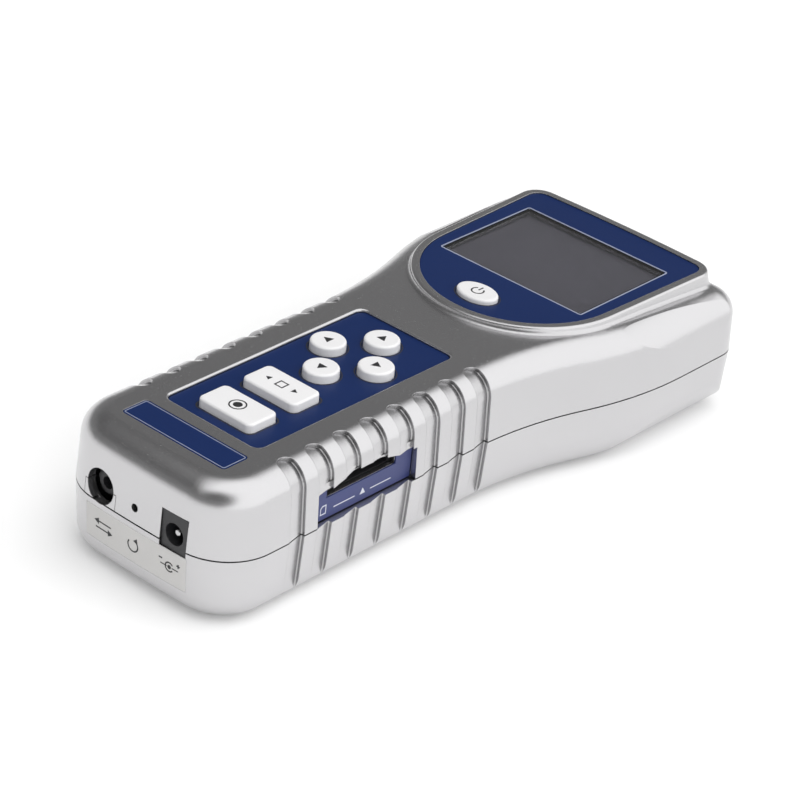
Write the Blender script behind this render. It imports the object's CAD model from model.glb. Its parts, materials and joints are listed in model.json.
import json
from math import cos, pi, radians, sin

import bmesh
import bpy
from mathutils import Matrix, Vector
from mathutils.bvhtree import BVHTree

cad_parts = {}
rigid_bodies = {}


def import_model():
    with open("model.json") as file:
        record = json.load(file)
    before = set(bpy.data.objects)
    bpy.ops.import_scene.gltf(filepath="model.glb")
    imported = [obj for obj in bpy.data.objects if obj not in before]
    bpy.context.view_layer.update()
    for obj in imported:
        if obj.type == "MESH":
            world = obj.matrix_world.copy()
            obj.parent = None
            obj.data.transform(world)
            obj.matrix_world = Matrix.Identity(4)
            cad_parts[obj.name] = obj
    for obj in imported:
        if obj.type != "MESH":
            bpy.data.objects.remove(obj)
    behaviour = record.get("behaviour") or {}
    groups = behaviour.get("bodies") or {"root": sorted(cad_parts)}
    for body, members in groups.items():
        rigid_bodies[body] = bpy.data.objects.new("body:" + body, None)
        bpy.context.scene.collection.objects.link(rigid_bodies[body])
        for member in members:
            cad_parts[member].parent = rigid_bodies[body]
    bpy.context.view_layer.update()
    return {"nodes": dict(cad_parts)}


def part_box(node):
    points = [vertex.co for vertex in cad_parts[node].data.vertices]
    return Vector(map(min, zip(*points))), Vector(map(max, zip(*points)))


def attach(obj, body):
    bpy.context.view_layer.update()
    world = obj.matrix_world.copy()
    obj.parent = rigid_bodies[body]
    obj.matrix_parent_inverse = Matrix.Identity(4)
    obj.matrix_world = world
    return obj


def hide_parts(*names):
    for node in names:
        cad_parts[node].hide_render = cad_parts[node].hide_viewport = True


for left_over in list(bpy.data.objects):
    bpy.data.objects.remove(left_over)
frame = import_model()
nodes = frame["nodes"]
MM = 0.001

# ---------------------------------------------------------------- camera
TARGET = Vector((1.433, -9.281, 20.0)) * MM
DISTANCE = 834.169 * MM
AZIMUTH, ELEVATION, ROLL = radians(38.826), radians(30.101), radians(6.159)
SENSOR_WIDTH, LENS = 36.0, 135.747
NEAREST, FARTHEST = 0.01, 20.0


def add_camera():
    """The camera at the photograph's viewing angle, aimed at the target and rolled."""
    back = Vector((
        sin(AZIMUTH) * cos(ELEVATION), -cos(AZIMUTH) * cos(ELEVATION), sin(ELEVATION)
    ))
    forward = -back
    right = forward.cross(Vector((0, 0, 1))).normalized()
    up = right.cross(forward)
    right, up = cos(ROLL) * right + sin(ROLL) * up, cos(ROLL) * up - sin(ROLL) * right
    data = bpy.data.cameras.new("view")
    data.sensor_fit, data.sensor_width, data.lens = "HORIZONTAL", SENSOR_WIDTH, LENS
    data.clip_start, data.clip_end = NEAREST, FARTHEST
    camera = bpy.data.objects.new("view", data)
    turned = Matrix((right, up, back)).transposed().to_4x4()
    turned.translation = TARGET + back * DISTANCE
    camera.matrix_world = turned
    bpy.context.scene.collection.objects.link(camera)
    bpy.context.scene.camera = camera


# ---------------------------------------------------------------- materials
INK_COLOUR = (0.018, 0.018, 0.020)
# How much of the sky a place sees: below the first it counts as sunk, above the second
# as open.
SUNK_SKY, OPEN_SKY = 0.46, 0.88


def new_material(name):
    material = bpy.data.materials.new(name)
    material.use_nodes = True
    tree = material.node_tree
    tree.nodes.clear()
    output = tree.nodes.new("ShaderNodeOutputMaterial")
    shader = tree.nodes.new("ShaderNodeBsdfPrincipled")
    tree.links.new(shader.outputs["BSDF"], output.inputs["Surface"])
    return material, tree, shader


def noise(tree, place, scale, detail=2.0, roughness=0.5):
    node = tree.nodes.new("ShaderNodeTexNoise")
    node.inputs["Scale"].default_value = scale
    node.inputs["Detail"].default_value = detail
    node.inputs["Roughness"].default_value = roughness
    tree.links.new(place, node.inputs["Vector"])
    return node.outputs["Fac"]


def remap(tree, value, low, high, start=0.3, end=0.7):
    """Low where the value is at the start or under, high at the end or over."""
    node = tree.nodes.new("ShaderNodeMapRange")
    node.inputs["From Min"].default_value = start
    node.inputs["From Max"].default_value = end
    node.inputs["To Min"].default_value = low
    node.inputs["To Max"].default_value = high
    tree.links.new(value, node.inputs["Value"])
    return node.outputs["Result"]


def two_tone(tree, value, dark, light, start=0.3, end=0.7):
    node = tree.nodes.new("ShaderNodeValToRGB")
    first, last = node.color_ramp.elements
    first.position, first.color = start, (*dark, 1)
    last.position, last.color = end, (*light, 1)
    tree.links.new(value, node.inputs["Fac"])
    return node.outputs["Color"]


def maths(tree, operation, *values):
    """A maths node on numbers or other nodes' outputs."""
    node = tree.nodes.new("ShaderNodeMath")
    node.operation = operation
    for socket, value in zip(node.inputs, values):
        if isinstance(value, (int, float)):
            socket.default_value = value
        else:
            tree.links.new(value, socket)
    return node.outputs[0]


def mixed(tree, share, first, second):
    """A colour mixed from two, each a colour or another node's output."""
    node = tree.nodes.new("ShaderNodeMix")
    node.data_type = "RGBA"
    tree.links.new(share, node.inputs[0])
    for socket, value in ((node.inputs[6], first), (node.inputs[7], second)):
        if isinstance(value, tuple):
            socket.default_value = (*value, 1)
        else:
            tree.links.new(value, socket)
    return node.outputs[2]


def sunk(tree, reach):
    """How far a place lies down in a groove, a seam or a corner, from 0 to 1."""
    hidden = tree.nodes.new("ShaderNodeAmbientOcclusion")
    hidden.samples = 6
    hidden.inputs["Distance"].default_value = reach
    return remap(tree, hidden.outputs["AO"], 1.0, 0.0, SUNK_SKY, OPEN_SKY)


def bumped(tree, shader, height, strength, distance, normal=None):
    """A fine surface relief, on top of another normal where one is given."""
    relief = tree.nodes.new("ShaderNodeBump")
    relief.inputs["Strength"].default_value = strength
    relief.inputs["Distance"].default_value = distance
    tree.links.new(height, relief.inputs["Height"])
    if normal:
        tree.links.new(normal, relief.inputs["Normal"])
    tree.links.new(relief.outputs["Normal"], shader.inputs["Normal"])


def clear_where(tree, share, shader):
    """Makes the surface see-through where the share is 1."""
    clear = tree.nodes.new("ShaderNodeBsdfTransparent")
    choose = tree.nodes.new("ShaderNodeMixShader")
    output = next(node for node in tree.nodes if node.type == "OUTPUT_MATERIAL")
    tree.links.new(share, choose.inputs["Fac"])
    tree.links.new(shader.outputs["BSDF"], choose.inputs[1])
    tree.links.new(clear.outputs["BSDF"], choose.inputs[2])
    tree.links.new(choose.outputs["Shader"], output.inputs["Surface"])


def finish_of(
    name, colour, roughness, metallic=0.0, spread=0.05, grain=1500.0, bump=0.004,
    rough_spread=0.05, soft_edge=0.12, coat=0.0, coat_roughness=0.1, cloud=60.0, drift=0.5,
    stretch=None, specular=0.5, shade=None, ink=None,
):
    """One finish: a colour that drifts softly and is speckled by a fine grain, a
    roughness that drifts with it, a fine surface relief, and edges that are eased.
    soft_edge and bump are in millimetres. shade is the reach, in millimetres, and the
    depth of the darkening in grooves and seams. ink gives the share of printed ink."""
    material, tree, shader = new_material(name)
    where = tree.nodes.new("ShaderNodeTexCoord").outputs["Object"]
    fine_place = where
    if stretch:
        mapping = tree.nodes.new("ShaderNodeMapping")
        mapping.inputs["Scale"].default_value = stretch
        tree.links.new(where, mapping.inputs["Vector"])
        fine_place = mapping.outputs["Vector"]
    fine = noise(tree, fine_place, grain, 3.0)
    slow = noise(tree, where, cloud, 2.0)
    mix = maths(tree, "MULTIPLY_ADD", fine, 1 - drift, maths(tree, "MULTIPLY", slow, drift))
    dark = [c * (1 - spread) for c in colour]
    light = [min(1.0, c * (1 + spread)) for c in colour]
    paint = two_tone(tree, mix, dark, light)
    if shade:
        reach, depth = shade
        paint = mixed(tree, sunk(tree, reach * MM), paint, tuple(c * depth for c in colour))
    if ink:
        paint = mixed(tree, ink(tree, where), paint, INK_COLOUR)
    tree.links.new(paint, shader.inputs["Base Color"])
    tree.links.new(
        remap(tree, mix, max(0.02, roughness - rough_spread), roughness + rough_spread),
        shader.inputs["Roughness"],
    )
    shader.inputs["Metallic"].default_value = metallic
    shader.inputs["Specular IOR Level"].default_value = specular
    shader.inputs["Coat Weight"].default_value = coat
    shader.inputs["Coat Roughness"].default_value = coat_roughness
    eased = tree.nodes.new("ShaderNodeBevel")
    eased.samples = 4
    eased.inputs["Radius"].default_value = soft_edge * MM
    bumped(tree, shader, fine, 0.6, bump * MM, eased.outputs["Normal"])
    return material


SILVER = finish_of(
    "silver_paint", (0.585, 0.58, 0.59), 0.26, metallic=0.96, spread=0.028, grain=3600.0,
    bump=0.001, rough_spread=0.015, soft_edge=0.28, coat=0.10, coat_roughness=0.14, drift=0.12,
    shade=(1.8, 0.34),
)
BLUE = finish_of(
    "blue_film", (0.006, 0.020, 0.090), 0.36, spread=0.08, grain=2600.0, bump=0.003,
    soft_edge=0.05, specular=0.18, drift=0.3,
)
SLATE = finish_of(
    "slate_film", (0.032, 0.043, 0.150), 0.42, spread=0.08, grain=2600.0, bump=0.003,
    soft_edge=0.05,
)
LABEL = finish_of(
    "label_film", (0.66, 0.65, 0.64), 0.5, spread=0.05, grain=3200.0, bump=0.003,
    soft_edge=0.05,
)
KEY_LOOK = dict(
    colour=(0.77, 0.765, 0.77), roughness=0.42, spread=0.03, grain=2400.0, bump=0.004,
    soft_edge=0.35,
)
KEY = finish_of("key_moulding", **KEY_LOOK)


def power_sign(tree, where):
    """1 where the power sign is printed: an open ring with a bar in its gap."""
    low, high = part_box("power_button")
    radius, half = 1.75 * MM, 0.24 * MM
    gap_slope, skin = 1.3, 0.2 * MM
    bar_middle, bar_reach = radius * 0.8, radius * 0.6

    def near(value, centre, reach):
        away = maths(tree, "ABSOLUTE", maths(tree, "SUBTRACT", value, centre))
        return maths(tree, "LESS_THAN", away, reach)

    split = tree.nodes.new("ShaderNodeSeparateXYZ")
    tree.links.new(where, split.inputs["Vector"])
    x = maths(tree, "SUBTRACT", split.outputs["X"], (low.x + high.x) / 2)
    x = maths(tree, "ABSOLUTE", x)
    y = maths(tree, "SUBTRACT", split.outputs["Y"], (low.y + high.y) / 2)
    square = maths(tree, "ADD", maths(tree, "MULTIPLY", x, x), maths(tree, "MULTIPLY", y, y))
    on_ring = near(maths(tree, "SQRT", square), radius, half)
    in_gap = maths(tree, "GREATER_THAN", y, maths(tree, "MULTIPLY", x, gap_slope))
    open_ring = maths(tree, "MULTIPLY", on_ring, maths(tree, "SUBTRACT", 1.0, in_gap))
    on_bar = maths(
        tree, "MULTIPLY", maths(tree, "LESS_THAN", x, half), near(y, bar_middle, bar_reach)
    )
    on_top = maths(tree, "GREATER_THAN", split.outputs["Z"], high.z - skin)
    return maths(tree, "MULTIPLY", maths(tree, "MAXIMUM", open_ring, on_bar), on_top)


POWER_KEY = finish_of("power_key_moulding", **KEY_LOOK, ink=power_sign)
INK = finish_of(
    "black_ink", INK_COLOUR, 0.5, spread=0.25, grain=4000.0, bump=0.002, soft_edge=0.02,
)
PALE_INK = finish_of(
    "pale_ink", (0.30, 0.33, 0.43), 0.4, spread=0.08, grain=4000.0, bump=0.002,
    soft_edge=0.02,
)
SLOT_INK = finish_of(
    "white_ink", (0.62, 0.64, 0.70), 0.45, spread=0.05, grain=4000.0, bump=0.002,
    soft_edge=0.02,
)
DISPLAY = finish_of(
    "display_face", (0.056, 0.053, 0.066), 0.32, spread=0.02, grain=3600.0, bump=0.001,
    soft_edge=0.05,
)
BLACK = finish_of(
    "black_moulding", (0.022, 0.022, 0.024), 0.40, spread=0.18, grain=2200.0, bump=0.006,
)
DIFFUSER = finish_of("white_diffuser", (0.80, 0.80, 0.79), 0.55, spread=0.03, grain=1500.0)
GREEN = finish_of(
    "solder_mask", (0.015, 0.12, 0.045), 0.35, spread=0.18, grain=700.0, bump=0.012, coat=0.3,
)
STEEL = finish_of(
    "plated_steel", (0.60, 0.60, 0.61), 0.26, metallic=1.0, spread=0.08, grain=900.0,
    bump=0.004, stretch=(1.0, 9.0, 1.0),
)
TURNED = finish_of(
    "turned_steel", (0.63, 0.63, 0.64), 0.22, metallic=1.0, spread=0.08, grain=1600.0,
    bump=0.005, stretch=(0.6, 6.0, 0.6),
)
BRASS = finish_of(
    "turned_brass", (0.66, 0.47, 0.20), 0.28, metallic=1.0, spread=0.10, grain=1400.0,
    bump=0.005,
)
SLEEVE = finish_of("cell_sleeve", (0.05, 0.055, 0.065), 0.35, metallic=0.3, spread=0.12)
MILLED = finish_of(
    "milled_aluminium", (0.70, 0.70, 0.71), 0.32, metallic=1.0, spread=0.07, grain=1100.0,
    bump=0.005, stretch=(9.0, 1.0, 1.0),
)
AMBER = finish_of("amber_foil", (0.45, 0.20, 0.035), 0.30, spread=0.15, coat=0.4)


def clear_material():
    """Clear acrylic with a faint haze. It throws no shadow on the glass behind it."""
    material, tree, shader = new_material("clear_acrylic")
    where = tree.nodes.new("ShaderNodeTexCoord").outputs["Object"]
    haze = noise(tree, where, 900.0, 2.0)
    shader.inputs["Base Color"].default_value = (0.93, 0.94, 0.95, 1)
    shader.inputs["Transmission Weight"].default_value = 1.0
    shader.inputs["IOR"].default_value = 1.49
    tree.links.new(remap(tree, haze, 0.02, 0.06), shader.inputs["Roughness"])
    bumped(tree, shader, haze, 0.2, 0.001 * MM)
    path = tree.nodes.new("ShaderNodeLightPath")
    clear_where(tree, path.outputs["Is Shadow Ray"], shader)
    return material


CLEAR = clear_material()

FINISHES = {
    "upper_housing": SILVER, "lower_housing": SILVER, "battery_cover": SILVER,
    "keypad_overlay": BLUE, "display_overlay": BLUE, "tail_strip": BLUE, "slot_plate": SLATE,
    "port_label": LABEL, "display_lens": CLEAR, "display_glass": DISPLAY,
    "display_frame": BLACK, "backlight_panel": DIFFUSER, "main_board": GREEN,
    "card_socket": BLACK, "key_switches": BLACK, "data_jack": BLACK, "power_jack": BLACK,
    "data_jack_nut": BLACK, "power_jack_pin": STEEL, "reset_plunger": BLACK,
    "reset_switch": BLACK, "sensing_shaft": TURNED, "front_bush": TURNED,
    "stand_inserts": BRASS, "case_screws": STEEL, "cover_screws": STEEL,
    "board_screws": STEEL, "bracket_screws": STEEL, "load_cell_screws": STEEL,
    "battery_cells": SLEEVE, "battery_contacts": STEEL, "load_cell": MILLED,
    "load_cell_bracket": MILLED, "strain_gauges": AMBER, "power_button": POWER_KEY,
}


def dress_nodes():
    """Gives every CAD node its finish. The keys that FINISHES leaves out are plain."""
    for name, node in nodes.items():
        finish = FINISHES.get(name, KEY)
        for place in range(max(1, len(node.data.materials))):
            if place < len(node.data.materials):
                node.data.materials[place] = finish
            else:
                node.data.materials.append(finish)


# ---------------------------------------------------------------- printed signs
# How far a mark stands out of its face and reaches into it.
PRINT = 0.03 * MM
# Where the search for a node's face starts, outward from the origin of its marks.
SEARCH = 20 * MM
surfaces = {}


def surface_of(node):
    """A node's mesh as a tree that rays can be cast on, built once."""
    if node not in surfaces:
        mesh = bmesh.new()
        mesh.from_mesh(nodes[node].data)
        surfaces[node] = BVHTree.FromBMesh(mesh)
        mesh.free()
    return surfaces[node]


def add_piece(name, mesh, body, material):
    """A new object from a mesh being edited, in one finish, riding on a body."""
    data = bpy.data.meshes.new(name)
    mesh.to_mesh(data)
    mesh.free()
    data.materials.append(material)
    piece = bpy.data.objects.new(name, data)
    bpy.context.scene.collection.objects.link(piece)
    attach(piece, body)
    return piece


def printed(name, node, origin, across, upward, outlines, body, material):
    """Thin printed marks laid on a node's outer face. Each outline is drawn flat, across
    and upward from the origin, and dropped straight onto the face. A mark with a hole is
    a pair of outlines with as many points, the outer and the inner."""
    across, upward = Vector(across), Vector(upward)
    outward = across.cross(upward)
    face = surface_of(node)
    mesh = bmesh.new()

    def dropped(point, lift):
        start = Vector(origin) + across * point[0] + upward * point[1] + outward * SEARCH
        hit = face.ray_cast(start, -outward)[0]
        return hit + outward * lift

    for outline in outlines:
        holed = isinstance(outline, tuple)
        rings = outline if holed else (outline,)
        low = [[mesh.verts.new(dropped(p, -PRINT)) for p in ring] for ring in rings]
        high = [[mesh.verts.new(dropped(p, PRINT)) for p in ring] for ring in rings]
        if not holed:
            mesh.faces.new(high[0])
            mesh.faces.new(list(reversed(low[0])))
        for ring in range(len(rings)):
            count = len(rings[ring])
            for step in range(count):
                after = (step + 1) % count
                mesh.faces.new(
                    (low[ring][step], low[ring][after], high[ring][after], high[ring][step])
                )
        if holed:
            for step in range(len(rings[0])):
                after = (step + 1) % len(rings[0])
                mesh.faces.new((high[0][step], high[0][after], high[1][after], high[1][step]))
                mesh.faces.new((low[1][step], low[1][after], low[0][after], low[0][step]))
    bmesh.ops.recalc_face_normals(mesh, faces=mesh.faces)
    add_piece(name, mesh, body, material)


def polar(centre, radius, angle):
    """The point at an angle and a distance from the centre."""
    return (centre[0] + radius * cos(angle), centre[1] + radius * sin(angle))


def circle(centre, radius, count=40):
    return [polar(centre, radius, 2 * pi * k / count) for k in range(count)]


def ring(centre, radius, line):
    """A round line, as an outer and an inner outline."""
    return (circle(centre, radius + line / 2), circle(centre, radius - line / 2))


def bar(start, end, line):
    """A straight stroke with square ends."""
    along = Vector((end[0] - start[0], end[1] - start[1])).normalized() * line / 2
    side = (-along.y, along.x)
    return [
        (start[0] + side[0], start[1] + side[1]), (start[0] - side[0], start[1] - side[1]),
        (end[0] - side[0], end[1] - side[1]), (end[0] + side[0], end[1] + side[1]),
    ]


def arc(centre, radius, line, first, last, count=28):
    """A curved stroke, from one angle to another in degrees."""
    angles = [radians(first + (last - first) * k / count) for k in range(count + 1)]
    outer = [polar(centre, radius + line / 2, angle) for angle in angles]
    inner = [polar(centre, radius - line / 2, angle) for angle in reversed(angles)]
    return outer + inner


def arrow(centre, reach, turn):
    """A solid triangle that points up, turned to the left by some degrees."""
    return [polar(centre, reach, radians(corner + turn)) for corner in (90, 210, 330)]


def middle(node):
    """The middle of the top of a node's box."""
    low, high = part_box(node)
    return Vector(((low.x + high.x) / 2, (low.y + high.y) / 2, high.z))


RIGHT, AHEAD, UP = (1, 0, 0), (0, 1, 0), (0, 0, 1)


def add_key_signs():
    """Plain signs on the keys: arrows, a dot and a window."""
    stroke = 0.42 * MM
    key_arrow, side_arrow, side_place = 1.7 * MM, 1.1 * MM, 4.6 * MM
    signs = {
        name: [arrow((0, 0), key_arrow, turn)]
        for name, turn in (("up", 0), ("left", 90), ("down", 180), ("right", 270))
    }
    half = 1.5 * MM
    window = [(x * half, y * half) for x, y in ((-1, -1), (1, -1), (1, 1), (-1, 1))]
    pane = [(x * (1 - stroke / half), y * (1 - stroke / half)) for x, y in window]
    signs["set"] = [
        (window, pane),
        arrow((side_place, 0), side_arrow, 270),
        arrow((-side_place, 0), side_arrow, 90),
    ]
    signs["log"] = [circle((0, 0), 1.3 * MM), ring((0, 0), 2.3 * MM, stroke)]
    for name, outlines in signs.items():
        key = f"{name}_button"
        printed(f"{name}_sign", key, middle(key), RIGHT, AHEAD, outlines, f"{name}_key", INK)


def add_tail_signs():
    """Plain signs under the sockets: two-way data arrows, a reset arrow, the plug's poles."""
    low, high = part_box("port_label")
    origin = (0, low.y, (low.z + high.z) / 2)
    stroke = 0.42 * MM
    data_x, reset_x, power_x = -11.6 * MM, -0.5 * MM, 12.6 * MM
    pole, pole_height, pole_half = 3.1 * MM, 1.6 * MM, 0.6 * MM
    outlines = []
    for side in (-1, 1):
        level = -side * 1.0 * MM
        tail, head = data_x - side * 2.9 * MM, data_x + side * 1.9 * MM
        outlines.append(bar((tail, level), (head, level), stroke))
        outlines.append(arrow((data_x + side * 2.3 * MM, level), 1.15 * MM, -90 * side))
        near, far = power_x + side * 0.9 * MM, power_x + side * pole
        outlines.append(bar((near, 0), (far, 0), stroke * 0.8))
        left, right = far - pole_half, far + pole_half
        outlines.append(bar((left, pole_height), (right, pole_height), stroke))
    plus = power_x + pole
    outlines += [
        bar((plus, pole_height - pole_half), (plus, pole_height + pole_half), stroke),
        arc((reset_x, 0), 1.8 * MM, stroke, -220, 60),
        arrow((reset_x + 1.1 * MM, 1.7 * MM), 1.0 * MM, -20),
        arc((power_x, 0), 1.35 * MM, stroke, 35, 325),
        circle((power_x, 0), 0.62 * MM),
    ]
    printed("tail_signs", "port_label", origin, RIGHT, UP, outlines, "case", INK)


def add_slot_signs():
    """A plain card with a cut corner, and an arrow that shows the way in between two lines."""
    low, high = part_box("slot_plate")
    origin = (high.x, 0, low.z)
    line = 0.28 * MM
    card = [(-1.1, -1.4), (1.1, -1.4), (1.1, 1.4), (-0.4, 1.4), (-1.1, 0.7)]
    card_y, card_z = low.y + 3.7 * MM, 2.9 * MM
    inset = 1 - 2 * line / (2.4 * MM)
    outer = [(card_y + x * MM, card_z + y * MM) for x, y in card]
    inner = [(card_y + x * inset * MM, card_z + y * inset * MM) for x, y in card]
    middle_y, line_z, near, far = (low.y + high.y) / 2, 2.4 * MM, 3 * MM, 11 * MM
    outlines = [(outer, inner), arrow((middle_y, 2.6 * MM), 1.2 * MM, 0)]
    for side in (-1, 1):
        start, end = middle_y + side * near, middle_y + side * far
        outlines.append(bar((start, line_z), (end, line_z), line))
    printed("slot_signs", "slot_plate", origin, AHEAD, UP, outlines, "case", SLOT_INK)


def add_screw_recesses():
    """The dark cross recess in the head of each screw that shows on the back."""
    half, one_head, near_tip = 0.28 * MM, 8 * MM, 0.05 * MM
    for node, body, reach in (("case_screws", "case", 1.5), ("cover_screws", "cover", 1.35)):
        low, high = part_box(node)
        heads = []
        for vertex in nodes[node].data.vertices:
            if vertex.co.z < low.z + near_tip:
                for head in heads:
                    if (head[0].xy - vertex.co.xy).length < one_head:
                        head.append(vertex.co)
                        break
                else:
                    heads.append([vertex.co])
        arm = reach * MM
        cross = [
            (half, half), (half, arm), (-half, arm), (-half, half), (-arm, half),
            (-arm, -half), (-half, -half), (-half, -arm), (half, -arm), (half, -half),
            (arm, -half), (arm, half),
        ]
        outlines = []
        for head in heads:
            x = (min(v.x for v in head) + max(v.x for v in head)) / 2
            y = (min(v.y for v in head) + max(v.y for v in head)) / 2
            outlines.append([(-x + dx, y + dy) for dx, dy in cross])
        printed(f"{node}_recess", node, (0, 0, low.z), (-1, 0, 0), AHEAD, outlines, body, INK)


def rounded(low, high, corner, count=8):
    """The outline of a rectangle with round corners, run round once."""
    centres = (
        (high[0] - corner, high[1] - corner, 0), (low[0] + corner, high[1] - corner, 90),
        (low[0] + corner, low[1] + corner, 180), (high[0] - corner, low[1] + corner, 270),
    )
    return [
        polar((x, y), corner, radians(first + 90 * step / count))
        for x, y, first in centres
        for step in range(count + 1)
    ]


def add_threaded_shaft():
    """The sensing shaft with a real screw thread, M6 by 1, cut into its stud."""
    low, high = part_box("sensing_shaft")
    axis = ((low.x + high.x) / 2, (low.z + high.z) / 2)
    radius, crest, root = (high.x - low.x) / 2, 3.0 * MM, 2.45 * MM
    pitch, length, tip, bevel = 1.0 * MM, 11.0 * MM, 0.6 * MM, 0.3 * MM
    start, sides, step = high.y - length, 40, 0.125 * MM
    # The flanks take up most of a turn, and the crest and the root are flat.
    steepness, root_flat = 1.3, 0.15
    rings = [
        (low.y, 0.0), (low.y, radius - bevel), (low.y + bevel, radius),
        (start - bevel, radius), (start, radius - bevel), (start, root),
    ]
    rings += [(start + step * k, None) for k in range(1, round(length / step) + 1)]
    rings.append((high.y, 0.0))
    mesh = bmesh.new()
    rows = []
    for y, fixed in rings:
        row = []
        for k in range(sides):
            turn = k / sides
            out = fixed
            if fixed is None:
                phase = ((y - start) / pitch - turn) % 1.0
                ridge = (1 - abs(2 * phase - 1)) * steepness - root_flat
                ridge = min(1.0, max(0.0, ridge)) * min(1.0, (y - start) / pitch)
                out = min(root + (crest - root) * ridge, crest - tip - (y - high.y))
            x, z = polar(axis, out, 2 * pi * turn)
            row.append(mesh.verts.new((x, y, z)))
        rows.append(row)
    for here, after in zip(rows, rows[1:]):
        for k in range(sides):
            beside = (k + 1) % sides
            mesh.faces.new((here[k], here[beside], after[beside], after[k]))
    bmesh.ops.remove_doubles(mesh, verts=mesh.verts, dist=0.001 * MM)
    bmesh.ops.recalc_face_normals(mesh, faces=mesh.faces)
    for face in mesh.faces:
        face.smooth = True
    for edge in mesh.edges:
        edge.smooth = edge.calc_face_angle(0) < radians(40)
    piece = add_piece("threaded_shaft", mesh, "shaft", TURNED)
    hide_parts("sensing_shaft")


def add_window_line():
    """The pale line printed on the film round the display window."""
    low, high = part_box("display_lens")
    origin = (0, 0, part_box("display_overlay")[1].z)
    gap, line = 0.15 * MM, 0.45 * MM
    inner = rounded((low.x - gap, low.y - gap), (high.x + gap, high.y + gap), 0.6 * MM)
    far = gap + line
    outer = rounded((low.x - far, low.y - far), (high.x + far, high.y + far), 0.9 * MM)
    printed("window_line", "display_overlay", origin, RIGHT, AHEAD, [(outer, inner)], "case",
            PALE_INK)


def add_strip_line():
    """The pale line printed just inside the edge of the strip at the tail."""
    low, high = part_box("tail_strip")
    gap, line = 0.45 * MM, 0.22 * MM
    outer = rounded((low.x + gap, low.y + gap), (high.x - gap, high.y - gap), 0.6 * MM)
    far = gap + line
    inner = rounded((low.x + far, low.y + far), (high.x - far, high.y - far), 0.4 * MM)
    printed("strip_line", "tail_strip", (0, 0, high.z), RIGHT, AHEAD, [(outer, inner)], "case",
            PALE_INK)


def add_key_gaps():
    """The dark edge of the film's hole round each key. The insets count from the key's
    box, which is as wide as its hidden flange and 0.9 mm wider each way than its cap."""
    insets = (0.34 * MM, 0.72 * MM)
    for name in nodes:
        if not name.endswith("_button"):
            continue
        film = "display_overlay" if name == "power_button" else "keypad_overlay"
        low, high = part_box(name)
        x, y = (low.x + high.x) / 2, (low.y + high.y) / 2
        pair = []
        for inset in insets:
            wide, long = (high.x - low.x) / 2 - inset, (high.y - low.y) / 2 - inset
            if name in ("set_button", "log_button"):
                pair.append(rounded((x - wide, y - long), (x + wide, y + long), 2.5 * MM))
            else:
                pair.append([(x + wide * px, y + long * py) for px, py in circle((0, 0), 1, 48)])
        origin = (0, 0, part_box(film)[1].z)
        printed(name.replace("_button", "_hole_edge"), film, origin, RIGHT, AHEAD,
                [tuple(pair)], "case", INK)


# ---------------------------------------------------------------- stage and light
FLOOR_REACH, FLOOR_LEVEL, FLOOR_GLOW = 6.0, -0.2 * MM, 0.20


def add_floor():
    """A plain pale floor. It glows a little where it is seen, straight or in metal and
    glass, and is see-through from below, so that the back can be looked at."""
    data = bpy.data.meshes.new("floor")
    corners = ((-1, -1), (1, -1), (1, 1), (-1, 1))
    data.from_pydata(
        [(x * FLOOR_REACH, y * FLOOR_REACH, 0) for x, y in corners], [], [(0, 1, 2, 3)]
    )
    floor = bpy.data.objects.new("floor", data)
    bpy.context.scene.collection.objects.link(floor)
    floor.location.z = FLOOR_LEVEL
    material, tree, shader = new_material("pale_floor")
    where = tree.nodes.new("ShaderNodeTexCoord").outputs["Object"]
    paint = two_tone(tree, noise(tree, where, 3.0, 2.0), (0.77,) * 3, (0.79,) * 3)
    tree.links.new(paint, shader.inputs["Base Color"])
    shader.inputs["Roughness"].default_value = 0.9
    shader.inputs["Specular IOR Level"].default_value = 0.1
    shader.inputs["Emission Color"].default_value = (1, 1, 1, 1)
    path = tree.nodes.new("ShaderNodeLightPath").outputs
    seen = maths(tree, "ADD", path["Is Camera Ray"], path["Is Glossy Ray"])
    seen = maths(tree, "ADD", seen, path["Is Transmission Ray"])
    glow = maths(tree, "MULTIPLY", maths(tree, "MINIMUM", seen, 1.0), FLOOR_GLOW)
    tree.links.new(glow, shader.inputs["Emission Strength"])
    under = tree.nodes.new("ShaderNodeNewGeometry").outputs["Backfacing"]
    clear_where(tree, under, shader)
    data.materials.append(material)


# Directions in the room, as seen from the object.
DIFFUSER_SIDE, GAP_SIDE = (0.8, 0.0, 0.6), (0.35, -0.76, 0.55)


def toward(tree, where, side):
    """How far a direction points to one side of the room."""
    node = tree.nodes.new("ShaderNodeVectorMath")
    node.operation = "DOT_PRODUCT"
    node.inputs[1].default_value = side
    tree.links.new(where, node.inputs[0])
    return node.outputs["Value"]


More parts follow.
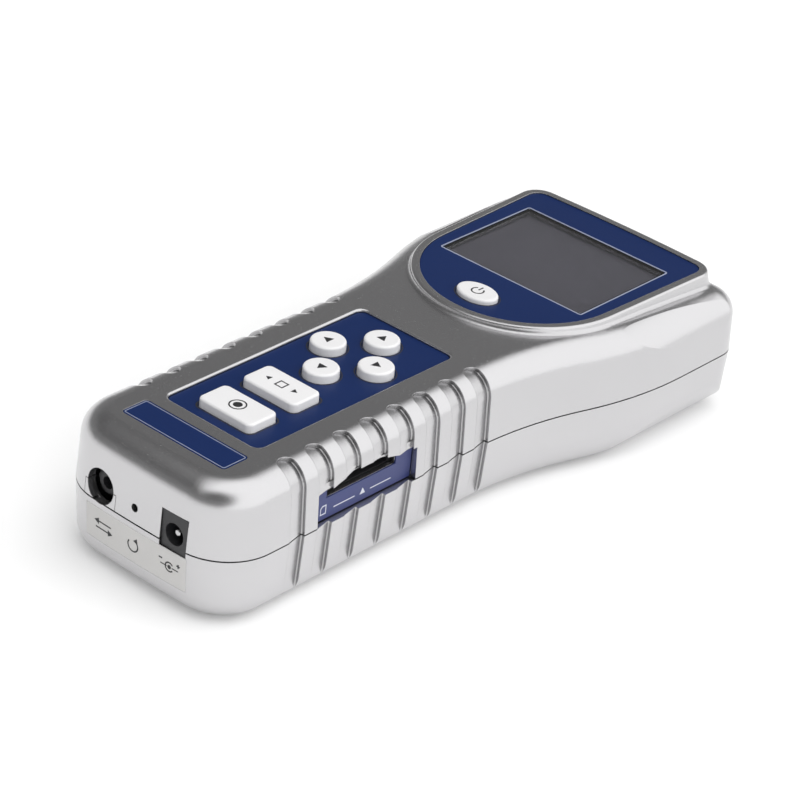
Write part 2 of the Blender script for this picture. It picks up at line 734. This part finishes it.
def add_world():
    """A room that is pale low down, like a sweep behind the object, open and bright above
    and to the right, like a large diffuser, dim to the left, and dark in the gap between
    the diffuser and the near side."""
    world = bpy.data.worlds.new("room")
    bpy.context.scene.world = world
    world.use_nodes = True
    tree = world.node_tree
    tree.nodes.clear()
    output = tree.nodes.new("ShaderNodeOutputWorld")
    background = tree.nodes.new("ShaderNodeBackground")
    where = tree.nodes.new("ShaderNodeTexCoord").outputs["Generated"]
    split = tree.nodes.new("ShaderNodeSeparateXYZ")
    tree.links.new(where, split.inputs["Vector"])
    height = split.outputs["Z"]
    sweep = remap(tree, height, 0.90, 0.0, 0.06, 0.20)
    haze = remap(tree, height, 0.21, 0.105, 0.42, 0.56)
    diffuser = remap(tree, toward(tree, where, DIFFUSER_SIDE), 0.0, 1.42, 0.04, 0.46)
    gap = remap(tree, toward(tree, where, GAP_SIDE), 1.0, 0.08, 0.81, 0.94)
    diffuser = maths(tree, "MULTIPLY", diffuser, gap)
    level = maths(tree, "MAXIMUM", maths(tree, "MAXIMUM", sweep, haze), diffuser)
    tree.links.new(level, background.inputs["Color"])
    tree.links.new(background.outputs["Background"], output.inputs["Surface"])


def add_lamp(name, place, size, power):
    """A soft lamp aimed at the origin. It is hidden from reflections, so that the metal
    mirrors only the room and the floor."""
    data = bpy.data.lights.new(name, "AREA")
    data.shape, data.size, data.size_y, data.energy = "RECTANGLE", size[0], size[1], power
    lamp = bpy.data.objects.new(name, data)
    bpy.context.scene.collection.objects.link(lamp)
    lamp.location = place
    lamp.rotation_euler = (-Vector(place)).to_track_quat("-Z", "Y").to_euler()
    lamp.visible_glossy = False


def add_lamps():
    add_lamp("overhead", (0.1, 0.0, 1.2), (1.0, 1.0), 4.5)
    add_lamp("left_box", (-1.1, -0.35, 0.75), (0.7, 0.9), 1.2)
    add_lamp("right_box", (0.95, -0.9, 0.7), (0.7, 0.7), 4.0)


# ---------------------------------------------------------------- assembly
add_camera()
dress_nodes()
add_key_signs()
add_tail_signs()
add_slot_signs()
add_screw_recesses()
add_threaded_shaft()
add_window_line()
add_key_gaps()
add_strip_line()
add_floor()
add_world()
add_lamps()
bpy.context.scene.view_settings.view_transform = "Standard"
